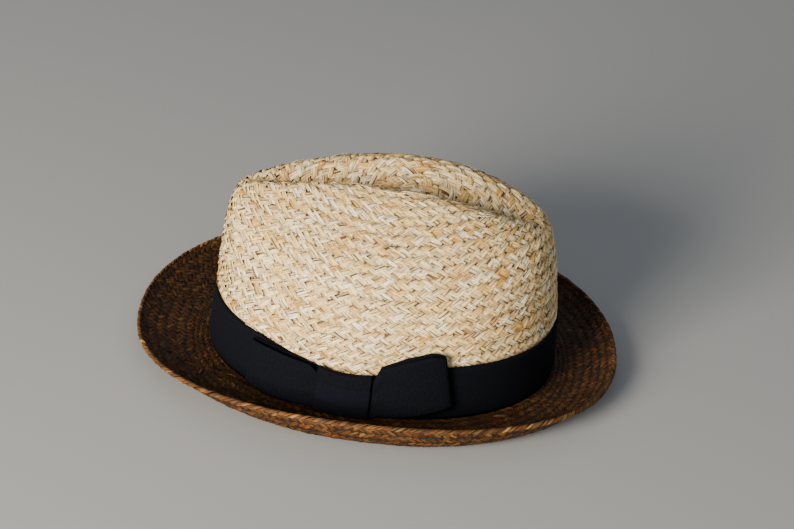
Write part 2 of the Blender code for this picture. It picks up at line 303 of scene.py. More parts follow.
def heightGrid(points, low):
    # mean heights in millimetre squares, where an empty square takes the mean of its neighbours
    size = np.ceil((points.max(0)[:2] - low) / mm).astype(int) + 3
    square = np.round((points[:, :2] - low) / mm).astype(int)
    total, count = np.zeros(size), np.zeros(size)
    np.add.at(total, (square[:, 0], square[:, 1]), points[:, 2])
    np.add.at(count, (square[:, 0], square[:, 1]), 1)
    for _ in range(crown["fillRounds"]):
        sums, counts = np.zeros(size), np.zeros(size)
        for step in ((1, 0), (-1, 0), (0, 1), (0, -1)):
            nearTotal, nearCount = np.roll(total, step, (0, 1)), np.roll(count, step, (0, 1))
            sums += np.where(nearCount > 0, nearTotal / np.maximum(nearCount, 1), 0)
            counts += nearCount > 0
        empty = (count == 0) & (counts > 0)
        total[empty], count[empty] = (sums / np.maximum(counts, 1))[empty], 1
    return total / np.maximum(count, 1)


def topRays(rings):
    # The top was blocked from a round body: its meridians run straight in plan from crest to middle.
    # Their heights come from the rings inside the crest and from the floor within the last ring.
    shares = np.linspace(0, 1, crown["floorSteps"] + 1)[:, None, None]
    last = rings[-1]
    mirrored = np.roll(last[::-1], 1, axis=0)
    floor = last * (1 - shares) + mirrored * shares
    filled = np.concatenate([rings.reshape(-1, 3), floor.reshape(-1, 3)])
    low = filled.min(0)[:2] - 2 * mm
    heights = heightGrid(filled, low)
    rays = np.linspace(0, 1, crown["topSteps"])[:, None]
    crest = rings[0]
    plan = crest[None, :, :2] * (1 - rays[..., None])
    at = (plan - low) / mm
    square = at.astype(int)
    share = at - square
    z = 0
    for dx in (0, 1):
        for dy in (0, 1):
            weight = np.abs(1 - dx - share[..., 0]) * np.abs(1 - dy - share[..., 1])
            z = z + weight * heights[square[..., 0] + dx, square[..., 1] + dy]
    blend = np.clip(rays / crown["crestShare"], 0, 1)
    z = crest[None, :, 2] * (1 - blend) + z * blend
    for _ in range(crown["smoothRounds"]):
        z[1:-1] = (z[:-2] + 2 * z[1:-1] + z[2:]) / 4
        z = (np.roll(z, 1, 1) + 2 * z + np.roll(z, -1, 1)) / 4
    return np.concatenate([plan, z[..., None]], -1)


def evenMeridians(points):
    # The body is one round spiral, so above the band every meridian is divided in the same shares.
    first = crown["steps"]
    even = points.copy()
    shares = np.linspace(0, 1, len(points) - first)
    for column in range(points.shape[1]):
        line = points[first:, column]
        walked = walkedAlong(line)
        for axis in range(3):
            even[first:, column, axis] = np.interp(shares * walked[-1], walked, line[:, axis])
    return even


def crownSurface(turns):
    crestRow = crown["steps"] * (1 + crown["crest"])
    points = pressDents(crownRings(turns), turns, crestRow)
    points = evenMeridians(np.concatenate([points[:crestRow], topRays(points[crestRow:])]))
    points[..., 1] += axisY
    surface = surfaceFrom(points)
    surface["out"][-1] = unit(surface["out"][-2].sum(0))  # the last ring is one point
    return surface


def innerSide(surface, wall):
    points = surface["points"] - surface["out"] * wall
    return {"points": points, "out": -surface["out"], "walk": surface["walk"]}


def onSurface(surface, turns, walks, heights):
    # points at these turns and walks, so high above the surface
    points, out = surface["points"], surface["out"]
    rows, columns = points.shape[:2]
    row = np.clip(np.interp(walks, surface["walk"], np.arange(rows)), 0, rows - 1.001)
    column = turns / fullTurn * columns
    lowRow = row.astype(int)
    lowColumn = np.floor(column).astype(int)
    upShare, besideShare = (row - lowRow)[..., None], (column - lowColumn)[..., None]
    near, far = lowColumn % columns, (lowColumn + 1) % columns

    def mixed(grid):
        low = grid[lowRow, near] * (1 - besideShare) + grid[lowRow, far] * besideShare
        high = grid[lowRow + 1, near] * (1 - besideShare) + grid[lowRow + 1, far] * besideShare
        return low * (1 - upShare) + high * upShare

    return mixed(points) + unit(mixed(out)) * heights[..., None]


surfaceTurns = np.linspace(0, fullTurn, 720, endpoint=False)
crownOutside = crownSurface(surfaceTurns)
print("crown surface, walk", round(crownOutside["walk"][-1] / mm, 1), "mm")


brim = {
    "frontWidth": -brimLow.y + axisY - crown["halfLength"],
    "sideWidth": brimHigh.x - crown["halfWidth"],
    "backWidth": brimHigh.y - axisY - crown["halfLength"],
    "wall": 1.8 * mm,
    "power": 2.2,
    "rises": (6.8 * mm, 18.5 * mm, 10.5 * mm),  # of the rim at the front, side and back
    "curls": (32.0 * mm, 16.2 * mm, 26.0 * mm),  # how wide the curled part is there
    "flatSteps": 12,
    "curlSteps": 24,
    "rimRadius": 1.45 * mm,
    "rimAngle": 110,  # degrees that the edge's plait reaches round, above and below
    "rimSteps": 22,
    "rimInset": 0.6,  # of the radius, from the edge of the wall in to the middle of the tube
    # of the brim's shell painted as shade, under the surface
    "shadeShellDepth": 0.7 * mm,
    "pitch": 4.8 * mm,
    # a finer and flatter plait than the crown's
    "plait": {
        "spacing": 4.2 * mm,
        "reach": 1.3,
        "edge": 1.14,
        "slant": 0.1 * mm,
        "crease": 0.08 * mm,
        "curl": 0.1 * mm,
        "lengthSteps": 4,
        "widthSteps": 4,
    },
}


def brimUnderside(turns):
    plan = wallRing(turns, np.full(len(turns), crown["foot"]))
    opening = plan - planOut(plan) * crown["wall"]
    rim = oval(
        turns,
        crown["halfLength"] + brim["frontWidth"],
        crown["halfWidth"] + brim["sideWidth"],
        crown["halfLength"] + brim["backWidth"],
        brim["power"],
    )
    inward = -planOut(rim)
    curl = turned(turns, *brim["curls"])
    rise = turned(turns, *brim["rises"])
    flatEnd = rim + inward * curl[:, None]
    rings = []
    for share in np.arange(brim["flatSteps"]) / brim["flatSteps"]:
        rings.append(np.column_stack([opening + (flatEnd - opening) * share, 0 * turns]))
    sweep = 2 * np.arctan2(rise, curl)
    radius = curl / np.sin(sweep)
    for share in np.arange(brim["curlSteps"] + 1) / brim["curlSteps"]:
        outward = (radius * np.sin(sweep * share))[:, None]
        rings.append(np.column_stack([flatEnd - inward * outward, radius * (1 - np.cos(sweep * share))]))
    points = np.array(rings)
    points[..., 1] += axisY
    return surfaceFrom(points)


brimUnder = brimUnderside(surfaceTurns)
brimTop = innerSide(brimUnder, brim["wall"])
print("brim surface, walk", round(brimUnder["walk"][-1] / mm, 1), "mm")


# Meshes from arrays


def gridQuads(rows, columns, closed):
    index = np.arange(rows * columns).reshape(rows, columns)
    if closed:
        index = np.concatenate([index, index[:, :1]], 1)
    return np.stack([index[:-1, :-1], index[:-1, 1:], index[1:, 1:], index[1:, :-1]], -1).reshape(-1, 4)


def repeated(quads, count, size):
    # the same quads for so many strips of so many points
    return (quads[None] + (np.arange(count) * size)[:, None, None]).reshape(-1, 4)


def joined(parts):
    # each part is its points, its quads, and the uv and the shade of its points
    starts = np.cumsum([0] + [len(part[0]) for part in parts])
    quads = np.concatenate([part[1] + start for part, start in zip(parts, starts)])
    points, uv, shade = (np.concatenate([part[i] for part in parts]) for i in (0, 2, 3))
    return points, quads, uv, shade


def makePiece(name, part, material, nodes):
    points, quads, uv, shade = part
    mesh = bpy.data.meshes.new(name)
    mesh.vertices.add(len(points))
    mesh.vertices.foreach_set("co", points.astype(np.float32).ravel())
    mesh.loops.add(quads.size)
    mesh.loops.foreach_set("vertex_index", quads.astype(np.int32).ravel())
    mesh.polygons.add(len(quads))
    mesh.polygons.foreach_set("loop_start", np.arange(0, quads.size, 4, dtype=np.int32))
    mesh.update(calc_edges=True)
    cornerUvs = uv[quads.ravel()].astype(np.float32)
    mesh.uv_layers.new(name="strandMap").data.foreach_set("uv", cornerUvs.ravel())
    shades = mesh.attributes.new("strandShade", "FLOAT_COLOR", "POINT")
    shades.data.foreach_set("color", shade.astype(np.float32).ravel())
    mesh.validate()
    mesh.shade_smooth()
    mesh.materials.append(material)
    piece = bpy.data.objects.new(name, mesh)
    bpy.context.scene.collection.objects.link(piece)
    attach(piece, "root")
    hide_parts(*nodes)
    print(name, 2 * len(quads), "triangles")
    return piece


# The plait: each course is one narrow braid, whose strands cross from its edges to its middle.


def courseRuler(surface, course, plait):
    # The strands are counted along the course, and lie closer together where it is narrow.
    turns = np.linspace(0, fullTurn, 721)
    level = np.zeros(len(turns))
    lower = onSurface(surface, turns, level + course - plait["pitch"] / 2, level)
    middle = onSurface(surface, turns, level + course, level)
    upper = onSurface(surface, turns, level + course + plait["pitch"] / 2, level)
    halfWidths = np.linalg.norm(upper - lower, axis=1) / 2
    spacings = plait["spacing"] * np.sqrt(halfWidths / plait["pitch"] * 2)
    steps = np.linalg.norm(np.diff(middle, axis=0), axis=1)
    numbers = np.concatenate([[0], np.cumsum(steps / (spacings[1:] + spacings[:-1]) * 2)])
    count = max(int(round(numbers[-1])), plait["fewest"])
    return turns, halfWidths, spacings * (numbers[-1] / count), numbers * (count / numbers[-1]), count


def strandHeights(plait, side, t, w, vary, chance):
    # up over the other strands and down under them
    lift = np.sin(np.pi * (plait["archStart"] + plait["archLength"] * t)) ** plait["archPower"]
    height = plait["low"] + (plait["high"] - plait["low"]) * lift + vary("height")
    height = height - side * plait["lap"] * (1 - t)
    # a strand lies over its neighbour towards the back and under the one towards the front
    over = -side * w
    height = height + plait["slant"] * (1 + vary("slant")) * over
    height = height - plait["dome"] * np.clip(-over, 0, 1) ** 3
    height = height - plait["curl"] * np.clip(over, 0, 1) ** 4
    ridge = np.cos(w * (plait["ridges"] + 2 * chance()) + 6 * chance())
    height = height + plait["ridge"] * ridge * lift
    # raffia is a leaf folded lengthwise, so each strand has a crease along it, some deeper than others
    folded = 2 * chance()
    height = height - plait["crease"] * folded * np.clip(1 - np.abs(w) / plait["creaseShare"], 0, 1)
    # painted shade: dark along the side that lies under the neighbour, and where the strand goes under
    coverShade = np.clip((-over - plait["coverFrom"]) / plait["coverOver"], 0, 1)
    litShare = np.clip(lift ** plait["diveShade"] * (1 - coverShade), 0, 1)
    return height, litShare


def layCourse(surface, course, plait, rng):
    turns, halfWidths, spacings, numbers, count = courseRuler(surface, course, plait)
    t = np.linspace(0, 1, plait["lengthSteps"] + 1)[None, :, None]  # along a strand, from its outer end in
    w = np.sin(np.linspace(-np.pi / 2, np.pi / 2, plait["widthSteps"] + 1))[None, None, :]  # across it
    edge, tuck, bow = plait["edge"], plait["tuck"], plait["bow"]
    shift = rng.random()

    def vary(name):
        return rng.normal(0, plait["stray"][name], (count, 1, 1))

    def chance():
        return rng.random((count, 1, 1))

    parts = []
    for side in plait["sides"]:
        # the strand's middle line, in strands along the course and half courses across it
        start = (np.arange(count) + shift + side * plait["stagger"])[:, None, None] + vary("start")
        at = np.interp(start % count, numbers, turns)
        half, spacing = np.interp(at, turns, halfWidths), np.interp(at, turns, spacings)
        reach = plait["reach"] * (1 + vary("reach"))
        along = start + reach * (0.5 - t)
        across = side * (edge + (tuck - edge) * t**bow) + vary("across")
        # its two edges stand off square to that line
        runAlong = -reach * spacing + 0 * t
        runAcross = side * (tuck - edge) * bow * np.maximum(t, 0.02) ** (bow - 1) * half
        run = np.hypot(runAlong, runAcross)
        lean = np.arctan2(half * (edge - tuck), reach * spacing)
        width = spacing * np.sin(lean) * plait["fill"] * (1 + vary("width")) / 2
        taper = 1 - plait["startTaper"] * (1 - t) ** 6 - plait["endTaper"] * t**6
        offset = w * width * taper
        along = along + runAcross / run * offset / spacing
        across = across - runAlong / run * offset / half
        height, litShare = strandHeights(plait, side, t, w, vary, chance)
        place = np.interp(along % count, numbers, turns)
        walks = course + across * plait["pitch"] / 2
        if plait["press"]:
            height = plait["press"](place, walks, height)
        points = onSurface(surface, place, walks, height + 0 * place)
        # red is a strand's tone, green its hue, blue how free it is of painted shade, and alpha the way
        # across it
        tone = np.clip(0.5 + vary("tone"), 0, 1)
        hue = chance()
        shade = np.stack([channel + 0 * along for channel in (tone, hue, litShare, (w + 1) / 2)], -1)
        # every strand has its own place in the noise of the material
        u = t * reach * spacing / mm + 100 * chance() + 0 * along
        v = w * width / mm + 100 * chance() + 0 * along
        quads = repeated(gridQuads(t.size, w.size, False), count, t.size * w.size)
        if (side < 0) == plait["flip"]:
            quads = quads[:, ::-1]
        uv = np.stack([u, v], -1)
        parts.append((points.reshape(-1, 3), quads, uv.reshape(-1, 2), shade.reshape(-1, 4)))
    return parts


def shadeShell(outer, inner, depth, rows, columns):
    # a closed shell under the plait, painted dark as painted shade, that shows only between the strands
    rings = []
    for surface, order in ((outer, 1), (inner, -1)):
        walks = np.linspace(0, surface["walk"][-1], rows)[::order]
        grid, turns = np.meshgrid(walks, np.linspace(0, fullTurn, columns, endpoint=False), indexing="ij")
        rings.append(onSurface(surface, turns, grid, np.full(grid.shape, -depth)))
    points = np.concatenate(rings)
    quads = gridQuads(2 * rows + 1, columns, True) % (2 * rows * columns)
    uv = points[..., :2].reshape(-1, 2) / mm
    # a dark tone with a low blue channel, so that the material paints the shell as shade
    shadeShellTone = (0.1, 0.3, 0.4, 0.0)
    return points.reshape(-1, 3), quads, uv, np.zeros((2 * rows * columns, 4)) + shadeShellTone


looseFibre = {
    "shortest": 7 * mm,
    "longest": 20 * mm,
    "points": 15,
    "sides": 4,
    "drift": 0.18,  # of its length, up or down
    "curl": 0.25,
    "radius": 75 * mm,  # of the crown, which turns a length into an angle
    "ends": 0.55,  # heights in mm above the surface
    "leastRise": 0.1,
    "mostRise": 0.7,
    "thinnest": 0.2,
    "thicker": 0.1,
    "shade": (0.8, 0.3, 1.0, 1.0),
}


def looseFibres(surface, places, rng):
    turns, walks, lengths = [], [], []
    for turn, turnSpread, walk, walkSpread, count in places:
        turns += list(np.radians(rng.normal(turn, turnSpread, count)))
        walks += list(rng.normal(walk, walkSpread, count))
        lengths += list(rng.uniform(looseFibre["shortest"], looseFibre["longest"], count))
    turns, walks, lengths = np.array(turns)[:, None], np.array(walks)[:, None], np.array(lengths)[:, None]
    size, sides = looseFibre["points"], looseFibre["sides"]
    t = np.linspace(-0.5, 0.5, size)[None, :]
    count = len(turns)
    drift = rng.normal(0, looseFibre["drift"], (count, 1))
    curl = rng.normal(0, looseFibre["curl"], (count, 1))
    along = (turns + lengths * t / looseFibre["radius"]) % fullTurn
    up = np.clip(walks + lengths * (drift * t + curl * t**2), 0, surface["walk"][-1] - mm)
    rise = rng.uniform(looseFibre["leastRise"], looseFibre["mostRise"], (count, 1))
    height = (looseFibre["ends"] + rise * np.cos(t * np.pi)) * mm
    middle = onSurface(surface, along, up, height)
    ahead = unit(np.gradient(middle, axis=1))
    away = unit(middle - onSurface(surface, along, up, 0 * height))
    aside = unit(np.cross(ahead, away))
    thick = (looseFibre["thinnest"] + looseFibre["thicker"] * rng.random((count, 1, 1))) * mm
    thick = thick * (1 - 0.9 * np.abs(2 * t[..., None]) ** 5)
    around = np.arange(sides) / sides * fullTurn
    points = np.stack([middle + (aside * np.cos(a) + away * np.sin(a)) * thick for a in around], 2)
    quads = repeated(gridQuads(size, sides, True), count, size * sides)
    shade = np.zeros((count * size * sides, 4)) + looseFibre["shade"]
    return points.reshape(-1, 3), quads, points[..., :2].reshape(-1, 2) / mm, shade


# where the marks and the painted shade of every strand begin and end, in the noise and across the strand
strandMarks = {
    "patchScale": 0.45,
    "fibre": (0.42, 0.5),
    "folded": (0.35, 0.65),  # of the strands, by their hue
    "leastCrease": 0.4,
    "creaseWander": 0.6,
    "creasePlace": 0.2,
    "creaseFade": (0.03, 0.1),
    "diveShade": (0.15, 0.85),
}


def fillRamp(ramp, stops):
    while len(ramp.elements) < len(stops):
        ramp.elements.new(0.5)
    for element, (place, colour) in zip(ramp.elements, stops):
        element.position = place
        element.color = linearColour(colour)


def strawMaterial(name, look):
    material, shader = startMaterial(name, look["roughness"], look["specular"])
    tree = material.node_tree
    strand = addNode(tree, "ShaderNodeUVMap", uv_map="strandMap")
    shade = addNode(tree, "ShaderNodeAttribute", attribute_name="strandShade")
    parts = addNode(tree, "ShaderNodeSeparateColor", {"Color": shade.outputs["Color"]})
    # fibres about 0.85 mm apart, where real ones are nearer 0.3 mm, so that they show
    size = (1 / look["fibreLength"], 1 / look["fibreWidth"], 1.0)
    mapping = addNode(tree, "ShaderNodeMapping", {"Vector": strand.outputs["UV"], "Scale": size})
    stretched = mapping.outputs["Vector"]
    fibres = noiseNode(tree, stretched, 1.0, 3.0, 0.6)
    # paler and browner patches along each strand, about its own tone
    patches = noiseNode(tree, stretched, strandMarks["patchScale"], 1.0, 0.5)
    patched = mathNode(tree, "MULTIPLY_ADD", patches, look["patch"], parts.outputs["Red"])
    evened = mathNode(tree, "SUBTRACT", patched, look["patch"] / 2)
    tone = addNode(tree, "ShaderNodeValToRGB", {"Fac": evened})
    fillRamp(tone.color_ramp, look["tones"])
    hue = addNode(tree, "ShaderNodeValToRGB", {"Fac": parts.outputs["Green"]})
    hue.color_ramp.interpolation = "CONSTANT"
    fillRamp(hue.color_ramp, look["hues"])
    colour = mixNode(tree, 1.0, tone.outputs["Color"], hue.outputs["Color"], "MULTIPLY")
    streak = rangeNode(tree, fibres, *strandMarks["fibre"], look["streak"], 0.0)
    # a dark line along the crease, painted shade; it wanders a little from side to side, and some strands
    # are less folded
    most, least, wander = look["crease"], strandMarks["leastCrease"], -strandMarks["creaseWander"]
    folded = rangeNode(tree, parts.outputs["Green"], *strandMarks["folded"], most, least)
    aside = mathNode(tree, "MULTIPLY_ADD", patches, wander, shade.outputs["Alpha"])
    offset = mathNode(tree, "SUBTRACT", aside, strandMarks["creasePlace"])
    distance = mathNode(tree, "ABSOLUTE", offset)
    crease = rangeNode(tree, distance, *strandMarks["creaseFade"], folded, 0.0)
    # painted shade, darkest where the strand dives under its neighbours and along the side that a neighbour
    # lies over
    diveShade = rangeNode(tree, parts.outputs["Blue"], *strandMarks["diveShade"], 1.0, 0.0)
    # the fibre streaks are the strand's own colour; the crease and the dive are painted shade in the edge
    # colour
    for amount, dark in ((streak, "fibre"), (crease, "edge"), (diveShade, "edge")):
        colour = mixNode(tree, amount, colour, linearColour(look[dark]))
    tree.links.new(colour, shader.inputs["Base Color"])
    relief = {"Strength": look["bump"], "Distance": 0.4 * mm, "Height": fibres}
    bump = addNode(tree, "ShaderNodeBump", relief)
    tree.links.new(bump.outputs["Normal"], shader.inputs["Normal"])
    return material


# Natural raffia: split palm leaf fibre, dried and plaited flat. It gives a pale satin strand with fine
# lengthwise fibres, and no two strands of one tone; each is painted darker under its neighbour, in its
# crease and where it goes under, as painted shade.
naturalRaffia = {
    "fibreLength": 8.0,
    "fibreWidth": 0.85,
    "patch": 1.8,
    "tones": ((0.0, "#DAB678"), (0.25, "#EBCB90"), (0.5, "#F5DCA8"), (0.75, "#FAE7BC"), (1.0, "#FDF2D8")),
    "hues": (
        (0.0, "#FFFFFF"),
        (0.45, "#FFFBEE"),
        (0.65, "#FFF6E4"),
        (0.8, "#F8EDD0"),
        (0.92, "#F6E5C4"),
        (0.985, "#E8C68C"),  # a rare browner strand
    ),
    "streak": 0.7,
    # how dark the painted shade along a strand's crease is
    "crease": 0.95,
    "fibre": "#865E2E",
    # the colour of the painted shade in creases and where strands go under
    "edge": "#45290E",
    "bump": 1.0,
    "roughness": 0.62,
    "specular": 0.35,
}

# Raffia dyed dark brown before plaiting, with a few amber strands. Its creases and dives are painted darker
# as painted shade, so its crests show lighter.
brownRaffia = {
    "fibreLength": 9.0,
    "fibreWidth": 0.9,
    "patch": 1.0,
    "tones": ((0.0, "#311F0C"), (0.25, "#442C12"), (0.5, "#563917"), (0.75, "#6B471E"), (1.0, "#8E632F")),
    "hues": ((0.0, "#FFFFFF"), (0.45, "#FFF0DC"), (0.65, "#FFE0C0"), (0.8, "#E8C8B0"), (0.92, "#FFD090")),
    "streak": 0.5,
    # how dark the painted shade along a strand's crease is
    "crease": 0.7,
    "fibre": "#2A190C",
    # the colour of the painted shade in creases and where strands go under
    "edge": "#150C06",
    "bump": 0.8,
    "roughness": 0.65,
    "specular": 0.25,
}

# The top of the brim is painted darker than its edge and underside: a darker copy of the brown plait, as
# painted shade.
shadedBrownRaffia = dict(
    brownRaffia,
    tones=((0.0, "#241506"), (0.25, "#342009"), (0.5, "#432A10"), (0.75, "#533615"), (1.0, "#694521")),
    fibre="#1C1005",
    # the colour of the painted shade in creases and where strands go under
    edge="#110902",
)

# The plait sewn round the rim is paler than the rest.
paleRimRaffia = dict(
    brownRaffia,
    tones=((0.0, "#3C2610"), (0.25, "#553819"), (0.5, "#644724"), (0.75, "#7C5932"), (1.0, "#9E7849")),
    fibre="#3A2410",
    # the colour of the painted shade in creases and where strands go under
    edge="#1E1108",
)

# The crown's plait. Across a course, 1 is its upper edge and -1 its lower one.
strawPlait = {
    "pitch": 6.2 * mm,
    "spacing": 6.2 * mm,
    "reach": 1.34,  # along the course, in strands
    "sides": (1, -1),  # strands from the upper edge and from the lower one
    "stagger": 0.25,  # each of them this far from the middle between two of the others
    "edge": 1.26,  # where a strand comes out, across the course
    "tuck": -0.36,  # and where it goes under
    "bow": 1.1,
    "fill": 1.42,  # width, where 1 would just touch the next strand
    "fewest": 5,
    "startTaper": 0.05,
    "endTaper": 0.25,
    "low": -0.5 * mm,
    "high": 0.5 * mm,
    "crease": 0.22 * mm,
    "creaseShare": 0.5,
    "slant": 0.35 * mm,
    "dome": 0.4 * mm,
    "curl": 0.12 * mm,
    "ridge": 0.1 * mm,
    "ridges": 5,
    # the part of a half wave that a strand rises and falls by
    "archStart": 0.10,
    "archLength": 0.82,
    "archPower": 0.8,
    "lap": -0.03 * mm,  # that the strands from the upper edge start lower than the others
    # painted shade on the strands: along the side that lies under a neighbour, and where they go under
    "coverFrom": 0.25,
    "coverOver": 0.5,
    "diveShade": 0.6,
    "lengthSteps": 5,
    "widthSteps": 6,
    "flip": False,
    "press": None,
    # how unlike the strands are: shares of themselves or of the spacing, and one height
    "stray": {
        "start": 0.06,
        "reach": 0.1,
        "across": 0.06,
        "width": 0.15,
        "height": 0.1 * mm,
        "slant": 0.35,
        "tone": 0.21,
    },
}


def alongBand():
    # half the way round the band, as distances from the bow's knot
    turns = np.linspace(0, np.pi, 721)
    plan = wallRing(turns, np.full(len(turns), (band["bottom"] + band["top"]) / 2))
    walked = walkedAlong(plan)
    return turns, walked - np.interp(band["bowTurn"], turns, walked)


def bandDip(turns):
    ring, walked = alongBand()
    distance = np.interp(turns, ring, walked, right=walked[-1])
    return band["dip"] * np.cos(np.clip(distance / band["dipReach"], -1, 1) * np.pi / 2) ** 2


def pressUnderBand(turns, walks, heights):
    # the ribbon presses the straw flat up to its upper edge
    rows = crown["steps"] + 1
    sideHeights = crownOutside["points"][:rows, len(surfaceTurns) // 4, 2]
    bandWalk = np.interp(band["top"], sideHeights, crownOutside["walk"][:rows])
    level = crown["foot"] + walks * (band["top"] - crown["foot"]) / bandWalk
    free = np.clip((level - (band["top"] - bandDip(turns))) / band["dentFade"], 0, 1)
    left = band["dentShare"] + (1 - band["dentShare"]) * free
    return heights * left - band["dentDepth"] * (1 - free)


def makeCrown():
    rng = np.random.default_rng(21)
    raffia = strawMaterial("natural_raffia_plait", naturalRaffia)
    pitch = strawPlait["pitch"]
    first = crownOutside["walk"][crown["steps"]] - crown["lowCourse"] * pitch
    last = crownOutside["walk"][-1] - crown["lastCourse"] * pitch
    outerPlait = dict(strawPlait, press=pressUnderBand)
    parts = []
    for course in np.arange(first, last, pitch):
        parts += layCourse(crownOutside, course, outerPlait, rng)
    parts.append(looseFibres(crownOutside, crown["loose"], rng))
    makePiece("crown_plait", joined(parts), raffia, ["crown"])
    inside = innerSide(crownOutside, crown["wall"])
    innerPlait = dict(strawPlait, high=0.35 * mm, lengthSteps=4, widthSteps=3, flip=True)
    parts = []
    for course in np.arange(0.6 * pitch, last, pitch):
        parts += layCourse(inside, course, innerPlait, rng)
    parts.append(shadeShell(crownOutside, inside, crown["shadeShellDepth"], rows=40, columns=150))
    makePiece("crown_plait_inside", joined(parts), raffia, ["crown"])


makeCrown()
print("crown done")


# one row of strands wound over the brim's edge
edgePlait = dict(
    strawPlait,
    spacing=5.0 * mm,
    sides=(1,),
    edge=0.98,
    tuck=-0.98,
    bow=1.0,
    reach=2.6,
    fill=1.25,
    lengthSteps=8,
    low=-0.6 * mm,
    high=0.2 * mm,
    dome=0.4 * mm,
    slant=0.06 * mm,
    crease=0.1 * mm,
)


def rimSurface():
    # a half tube round the brim's edge, from its underside to its top
    under, top = brimUnder["points"], brimTop["points"]
    ahead = unit(under[-1] - under[-3])
    up = unit(top[-1] - under[-1])
    radius, reach, rows = brim["rimRadius"], brim["rimAngle"], brim["rimSteps"] + 1
    middle = (under[-1] + top[-1]) / 2 - ahead * radius * brim["rimInset"]
    angles = np.radians(np.linspace(-reach, reach, rows))[:, None, None]
    points = middle[None] + radius * (np.cos(angles) * ahead[None] + np.sin(angles) * up[None])
    walk = radius * np.radians(np.linspace(0, 2 * reach, rows))
    return {"points": points, "out": gridOut(points), "walk": walk}


def makeBrim():
    rng = np.random.default_rng(33)
    last = brimUnder["walk"][-1]
    dyed = strawMaterial("brown_raffia_plait", brownRaffia)
    count = int(round(last / brim["pitch"]))
    pitch = last / count
    brimPlait = {**strawPlait, **brim["plait"], "pitch": pitch}
    upper = dict(brimPlait, high=0.15 * mm, flip=True)
    parts = []
    for course in (np.arange(count) + 0.5) * pitch:
        parts += layCourse(brimTop, course, upper, rng)
    # the top's darker copy of the brown plait is painted shade
    deep = strawMaterial("shaded_brown_raffia_plait", shadedBrownRaffia)
    makePiece("brim_plait_top", joined(parts), deep, ["brim"])
    lower = dict(brimPlait, high=-0.55 * mm, low=-0.95 * mm)  # kept above the floor
    parts = []
    for course in (np.arange(count) + 0.5) * pitch:
        parts += layCourse(brimUnder, course, lower, rng)
    parts.append(shadeShell(brimTop, brimUnder, brim["shadeShellDepth"], rows=16, columns=150))
    makePiece("brim_plait_underside", joined(parts), dyed, ["brim"])
    rim = rimSurface()
    parts = layCourse(rim, rim["walk"][-1] / 2, dict(edgePlait, pitch=rim["walk"][-1]), rng)
    rimRaffia = strawMaterial("pale_rim_raffia_plait", paleRimRaffia)
    makePiece("brim_edge", joined(parts), rimRaffia, ["brim"])


makeBrim()
print("brim done")


# Ribbon: one strip of grosgrain round the crown and three short ones in the bow. Distances run along the
# band from the knot's middle, and levels stand above the band's outer face.


def besideBand(distances, heights, levels):
    turns, walked = alongBand()
    at = np.interp(distances, walked, turns)
    out = squareTo(wallRing(at + 0.001, heights) - wallRing(at - 0.001, heights))
    plan = wallRing(at, heights) + out * (band["gap"] + band["wall"] + levels)[..., None]
    plan[..., 1] += axisY
    return np.concatenate([plan, heights[..., None]], -1)


def ribbonStrip(middle, ribbon, closed, reverse=False):
    # middle: the ribbon's middle surface as rows along its length and columns across its width
    if closed:
        alongStep = np.roll(middle, -1, 0) - np.roll(middle, 1, 0)
    else:
        alongStep = np.gradient(middle, axis=0)
    out = unit(np.cross(alongStep, np.gradient(middle, axis=1)))
    length, width = middle.shape[:2]
    walked = walkedAlong(middle[:, width // 2])
    ribs = max(int(round(walked[-1] / ribbon["ribPitch"])), 4)
    rib = 0.5 - 0.5 * np.cos(fullTurn * ribs * walked / walked[-1])
    across = np.linspace(-1, 1, width)
    edge = ribbon["edge"]
    rounded = np.sqrt(np.clip(1 - (np.clip(np.abs(across) - (1 - edge), 0, None) / edge) ** 2, 0, 1))
    half = ribbon["wall"] / 2 * rounded[None, :]
    half = half - ribbon["ribDepth"] * rib[:, None] * rounded[None, :] * 0.5
    front = middle + out * half[..., None]
    rear = middle - out * half[..., None]
    around = np.concatenate([front, rear[:, ::-1][:, 1:-1]], 1)
    count = around.shape[1]
    quads = gridQuads(length + (1 if closed else 0), count, True) % (length * count)
    if not closed:
        # each end is closed by a strip across the ring
        for ring, flip in ((0, False), (length - 1, True)):
            first = ring * count
            cap = []
            for i in range(width - 1):
                a, b = i, i + 1
                c, d = (count - i - 1) % count, (count - i) % count
                if i == 0:
                    d = 0
                if i == width - 2:
                    c = b
                face = [first + a, first + b, first + c, first + d]
                cap.append(face[::-1] if flip else face)
            quads = np.concatenate([quads, np.array([f for f in cap if len(set(f)) == 4])])
    if reverse:
        quads = quads[:, ::-1]
    place = np.concatenate([across, across[::-1][1:-1]])
    alongUv, acrossUv = np.repeat(walked[:, None], count, 1) / mm, np.repeat(place[None], length, 0) * 15
    uv = np.stack([alongUv, acrossUv], -1)
    # red is how far down between the ribs a point lies, which the material paints as shade
    shade = np.repeat(np.stack([rib, rib, rib, 0 * rib], -1)[:, None], count, 1)
    return around.reshape(-1, 3), quads, uv.reshape(-1, 2), shade.reshape(-1, 4)


# Black grosgrain: matt spun yarn over thick cross ribs. It looks deep black and soft, with hardly a sheen.
grosgrain = {
    "wall": 0.8 * mm,
    "edge": 0.04,
    "ribPitch": 0.9 * mm,
    "ribDepth": 0.14 * mm,
    "colour": "#070912",
    # the colour of the painted shade in the grooves between the ribs
    "grooveShade": "#040406",
    "lint": "#151823",
    "lintSpecks": (0.45, 0.75),  # where they begin and are full, in the noise
    "lintShare": 0.4,
    "roughness": 0.9,
    "specular": 0.1,
}


